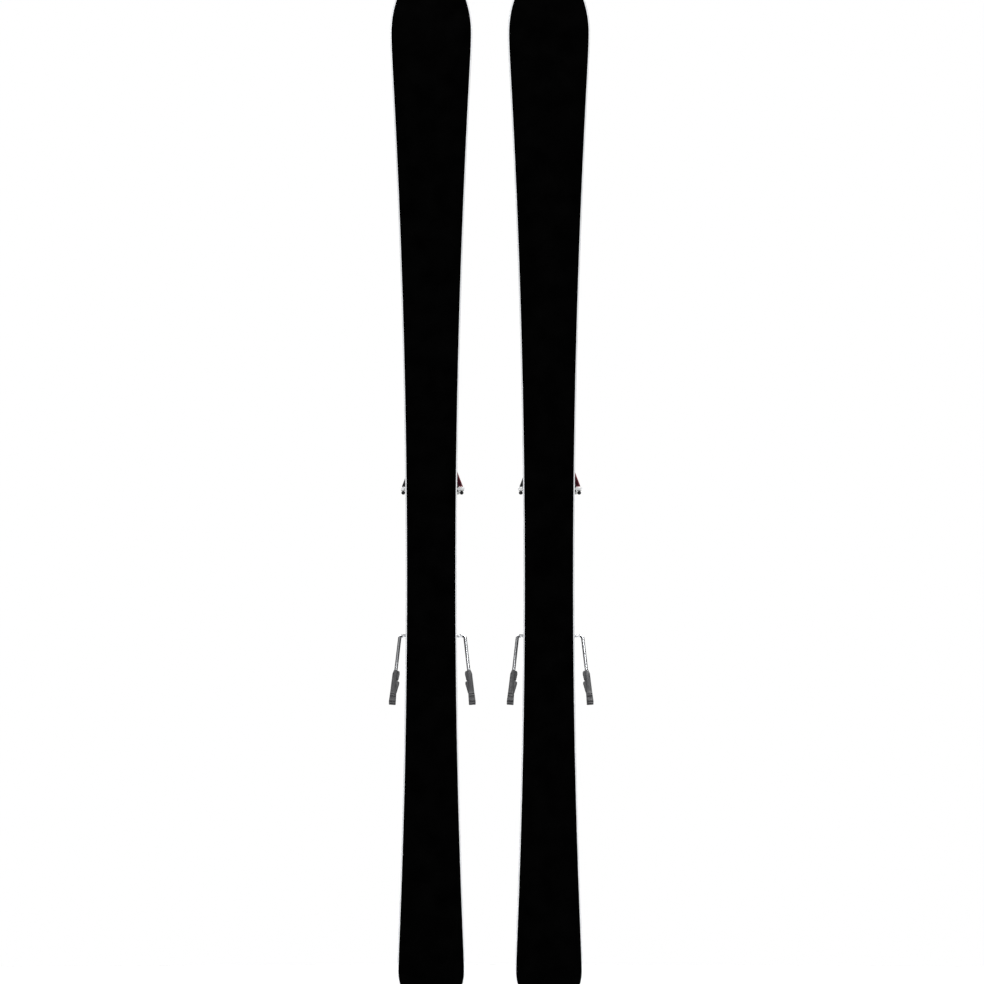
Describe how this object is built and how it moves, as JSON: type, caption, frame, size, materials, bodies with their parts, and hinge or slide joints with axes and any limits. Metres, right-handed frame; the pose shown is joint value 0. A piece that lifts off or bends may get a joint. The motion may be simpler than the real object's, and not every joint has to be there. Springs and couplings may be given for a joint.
{
  "type": "pair of alpine skis with bindings",
  "caption": "Carving skis standing upright as a pair, bases forward, with sprung toe wings, a sliding heel piece that swings open, a press-down lever and folding wire brakes.",
  "frame": {"origin": "on the floor under the tails, in the middle of the pair's width and depth", "axes": "+Z from tail to tip, the black bases face -Y, the bindings face +Y, X runs across the pair"},
  "size_m": [0.3068, 0.1602, 1.554],
  "materials": {
    "ski_base": "fine stone-ground structure",
    "wood_core": "laminated",
    "top_sheet": "gloss",
    "edge_steel": "ground",
    "sidewall": "satin",
    "guard_plastic": "satin",
    "dark_plastic": "fine grain",
    "housing_plastic": "satin",
    "red_plastic": "gloss",
    "black_plastic": "satin",
    "steel": "turned",
    "wire_steel": "drawn",
    "spring_steel": "drawn",
    "grey_plastic": "satin",
    "lever_metal": "satin",
    "brass": "machined",
    "foot_plastic": "moulded"
  },
  "bodies": {
    "skis": {"left_base": "ski_base", "right_base": "ski_base", "cores": "wood_core", "left_top_sheet": "top_sheet", "right_top_sheet": "top_sheet", "steel_edges": "edge_steel", "sidewalls": "sidewall", "tail_guards": "guard_plastic", "track_plates": "dark_plastic", "fixing_screws": "steel", "left_toe_base": "dark_plastic", "right_toe_base": "dark_plastic", "left_toe_housing": "housing_plastic", "right_toe_housing": "housing_plastic", "toe_springs": "spring_steel", "wing_pins": "steel"},
    "left_black_wing_body": {"left_black_wing": "black_plastic", "left_black_wing_tip": "black_plastic"},
    "left_red_wing_body": {"left_red_wing": "red_plastic", "left_red_wing_tip": "black_plastic"},
    "left_puller_body": {"left_toe_puller": "steel"},
    "left_toe_screw_body": {"left_toe_screw": "steel"},
    "left_toe_nut_body": {"left_toe_nut": "brass"},
    "left_glide_body": {"left_glide_plate": "grey_plastic"},
    "left_heel_carriage_body": {"left_heel_carriage": "dark_plastic", "left_heel_pins": "steel", "left_brake_base": "dark_plastic"},
    "left_lock_lever_body": {"left_lock_lever": "lever_metal"},
    "left_heel_housing_body": {"left_heel_housing": "housing_plastic", "left_heel_cup": "dark_plastic", "left_heel_spring": "spring_steel"},
    "left_heel_piston_body": {"left_heel_piston": "steel"},
    "left_heel_lever_body": {"left_heel_lever": "lever_metal"},
    "left_heel_screw_body": {"left_heel_screw": "steel"},
    "left_heel_nut_body": {"left_heel_nut": "brass"},
    "left_brake_body": {"left_brake_wire": "wire_steel", "left_brake_pedal": "black_plastic", "left_brake_tips": "foot_plastic"},
    "right_black_wing_body": {"right_black_wing": "black_plastic", "right_black_wing_tip": "black_plastic"},
    "right_red_wing_body": {"right_red_wing": "red_plastic", "right_red_wing_tip": "black_plastic"},
    "right_puller_body": {"right_toe_puller": "steel"},
    "right_toe_screw_body": {"right_toe_screw": "steel"},
    "right_toe_nut_body": {"right_toe_nut": "brass"},
    "right_glide_body": {"right_glide_plate": "grey_plastic"},
    "right_heel_carriage_body": {"right_heel_carriage": "dark_plastic", "right_heel_pins": "steel", "right_brake_base": "dark_plastic"},
    "right_lock_lever_body": {"right_lock_lever": "lever_metal"},
    "right_heel_housing_body": {"right_heel_housing": "housing_plastic", "right_heel_cup": "dark_plastic", "right_heel_spring": "spring_steel"},
    "right_heel_piston_body": {"right_heel_piston": "steel"},
    "right_heel_lever_body": {"right_heel_lever": "lever_metal"},
    "right_heel_screw_body": {"right_heel_screw": "steel"},
    "right_heel_nut_body": {"right_heel_nut": "brass"},
    "right_brake_body": {"right_brake_wire": "wire_steel", "right_brake_pedal": "black_plastic", "right_brake_tips": "foot_plastic"}
  },
  "joints": [
    {"name": "left_black_wing_hinge", "type": "hinge", "parent": "skis", "child": "left_black_wing_body", "pos_m": [-0.1073, 0.01917, 0.8], "axis": [0, 1, 0], "range_deg": [0, 22], "stiffness_Nm_per_rad": 20, "springref_deg": -5.73},
    {"name": "left_red_wing_hinge", "type": "hinge", "parent": "skis", "child": "left_red_wing_body", "pos_m": [-0.0693, 0.01917, 0.8], "axis": [0, -1, 0], "range_deg": [0, 22], "stiffness_Nm_per_rad": 20, "springref_deg": -5.73},
    {"name": "left_toe_puller_slide", "type": "slide", "parent": "skis", "child": "left_puller_body", "axis": [0, 0, -1], "range_m": [0, 0.006], "deforming": ["toe_springs"]},
    {"name": "left_toe_screw_turn", "type": "hinge", "parent": "left_puller_body", "child": "left_toe_screw_body", "pos_m": [-0.0883, 0.01717, 0.851], "axis": [0, 0, 1], "range_deg": [-1080, 1080]},
    {"name": "left_toe_nut_slide", "type": "slide", "parent": "left_puller_body", "child": "left_toe_nut_body", "axis": [0, 0, 1], "range_m": [-0.0046, 0.0046]},
    {"name": "left_glide_slide", "type": "slide", "parent": "skis", "child": "left_glide_body", "axis": [1, 0, 0], "range_m": [-0.008, 0.008], "stiffness_N_per_m": 2500},
    {"name": "left_boot_length_slide", "type": "slide", "parent": "skis", "child": "left_heel_carriage_body", "axis": [0, 0, 1], "range_m": [-0.02, 0.02]},
    {"name": "left_lock_lever_hinge", "type": "hinge", "parent": "left_heel_carriage_body", "child": "left_lock_lever_body", "pos_m": [-0.0883, -0.00533, 0.389], "axis": [1, 0, 0], "range_deg": [0, 22]},
    {"name": "left_heel_hinge", "type": "hinge", "parent": "left_heel_carriage_body", "child": "left_heel_housing_body", "pos_m": [-0.0883, 0.02517, 0.42], "axis": [-1, 0, 0], "range_deg": [0, 40]},
    {"name": "left_heel_piston_slide", "type": "slide", "parent": "left_heel_housing_body", "child": "left_heel_piston_body", "axis": [0, 0, 1], "range_m": [0, 0.0041], "deforming": ["left_heel_spring"]},
    {"name": "left_heel_lever_hinge", "type": "hinge", "parent": "left_heel_housing_body", "child": "left_heel_lever_body", "pos_m": [-0.0883, 0.05417, 0.43], "axis": [-1, 0, 0], "range_deg": [0, 10]},
    {"name": "left_heel_screw_turn", "type": "hinge", "parent": "left_heel_housing_body", "child": "left_heel_screw_body", "pos_m": [-0.0883, 0.04117, 0.391], "axis": [0, 0, 1], "range_deg": [-720, 720]},
    {"name": "left_heel_nut_slide", "type": "slide", "parent": "left_heel_housing_body", "child": "left_heel_nut_body", "axis": [0, 0, 1], "range_m": [-0.0031, 0.0031]},
    {"name": "left_brake_hinge", "type": "hinge", "parent": "left_heel_carriage_body", "child": "left_brake_body", "pos_m": [-0.0883, -0.00033, 0.5457], "axis": [1, 0, 0], "range_deg": [0, 37], "stiffness_Nm_per_rad": 1.8, "springref_deg": -20.05},
    {"name": "right_black_wing_hinge", "type": "hinge", "parent": "skis", "child": "right_black_wing_body", "pos_m": [0.0693, 0.01917, 0.8], "axis": [0, 1, 0], "range_deg": [0, 22], "stiffness_Nm_per_rad": 20, "springref_deg": -5.73},
    {"name": "right_red_wing_hinge", "type": "hinge", "parent": "skis", "child": "right_red_wing_body", "pos_m": [0.1073, 0.01917, 0.8], "axis": [0, -1, 0], "range_deg": [0, 22], "stiffness_Nm_per_rad": 20, "springref_deg": -5.73},
    {"name": "right_toe_puller_slide", "type": "slide", "parent": "skis", "child": "right_puller_body", "axis": [0, 0, -1], "range_m": [0, 0.006], "deforming": ["toe_springs"]},
    {"name": "right_toe_screw_turn", "type": "hinge", "parent": "right_puller_body", "child": "right_toe_screw_body", "pos_m": [0.0883, 0.01717, 0.851], "axis": [0, 0, 1], "range_deg": [-1080, 1080]},
    {"name": "right_toe_nut_slide", "type": "slide", "parent": "right_puller_body", "child": "right_toe_nut_body", "axis": [0, 0, 1], "range_m": [-0.0046, 0.0046]},
    {"name": "right_glide_slide", "type": "slide", "parent": "skis", "child": "right_glide_body", "axis": [1, 0, 0], "range_m": [-0.008, 0.008], "stiffness_N_per_m": 2500},
    {"name": "right_boot_length_slide", "type": "slide", "parent": "skis", "child": "right_heel_carriage_body", "axis": [0, 0, 1], "range_m": [-0.02, 0.02]},
    {"name": "right_lock_lever_hinge", "type": "hinge", "parent": "right_heel_carriage_body", "child": "right_lock_lever_body", "pos_m": [0.0883, -0.00533, 0.389], "axis": [1, 0, 0], "range_deg": [0, 22]},
    {"name": "right_heel_hinge", "type": "hinge", "parent": "right_heel_carriage_body", "child": "right_heel_housing_body", "pos_m": [0.0883, 0.02517, 0.42], "axis": [-1, 0, 0], "range_deg": [0, 40]},
    {"name": "right_heel_piston_slide", "type": "slide", "parent": "right_heel_housing_body", "child": "right_heel_piston_body", "axis": [0, 0, 1], "range_m": [0, 0.0041], "deforming": ["right_heel_spring"]},
    {"name": "right_heel_lever_hinge", "type": "hinge", "parent": "right_heel_housing_body", "child": "right_heel_lever_body", "pos_m": [0.0883, 0.05417, 0.43], "axis": [-1, 0, 0], "range_deg": [0, 10]},
    {"name": "right_heel_screw_turn", "type": "hinge", "parent": "right_heel_housing_body", "child": "right_heel_screw_body", "pos_m": [0.0883, 0.04117, 0.391], "axis": [0, 0, 1], "range_deg": [-720, 720]},
    {"name": "right_heel_nut_slide", "type": "slide", "parent": "right_heel_housing_body", "child": "right_heel_nut_body", "axis": [0, 0, 1], "range_m": [-0.0031, 0.0031]},
    {"name": "right_brake_hinge", "type": "hinge", "parent": "right_heel_carriage_body", "child": "right_brake_body", "pos_m": [0.0883, -0.00033, 0.5457], "axis": [1, 0, 0], "range_deg": [0, 37], "stiffness_Nm_per_rad": 1.8, "springref_deg": -20.05}
  ],
  "couplings": [
    {"joint": "left_toe_puller_slide", "follows": "left_black_wing_hinge", "m_per_rad": 0.0148},
    {"joint": "left_toe_nut_slide", "follows": "left_toe_screw_turn", "m_per_rad": 0.00023873},
    {"joint": "left_heel_piston_slide", "follows": "left_heel_hinge", "m_per_rad": 0.0057},
    {"joint": "left_heel_nut_slide", "follows": "left_heel_screw_turn", "m_per_rad": 0.00023873},
    {"joint": "right_toe_puller_slide", "follows": "right_black_wing_hinge", "m_per_rad": 0.0148},
    {"joint": "right_toe_nut_slide", "follows": "right_toe_screw_turn", "m_per_rad": 0.00023873},
    {"joint": "right_heel_piston_slide", "follows": "right_heel_hinge", "m_per_rad": 0.0057},
    {"joint": "right_heel_nut_slide", "follows": "right_heel_screw_turn", "m_per_rad": 0.00023873}
  ]
}
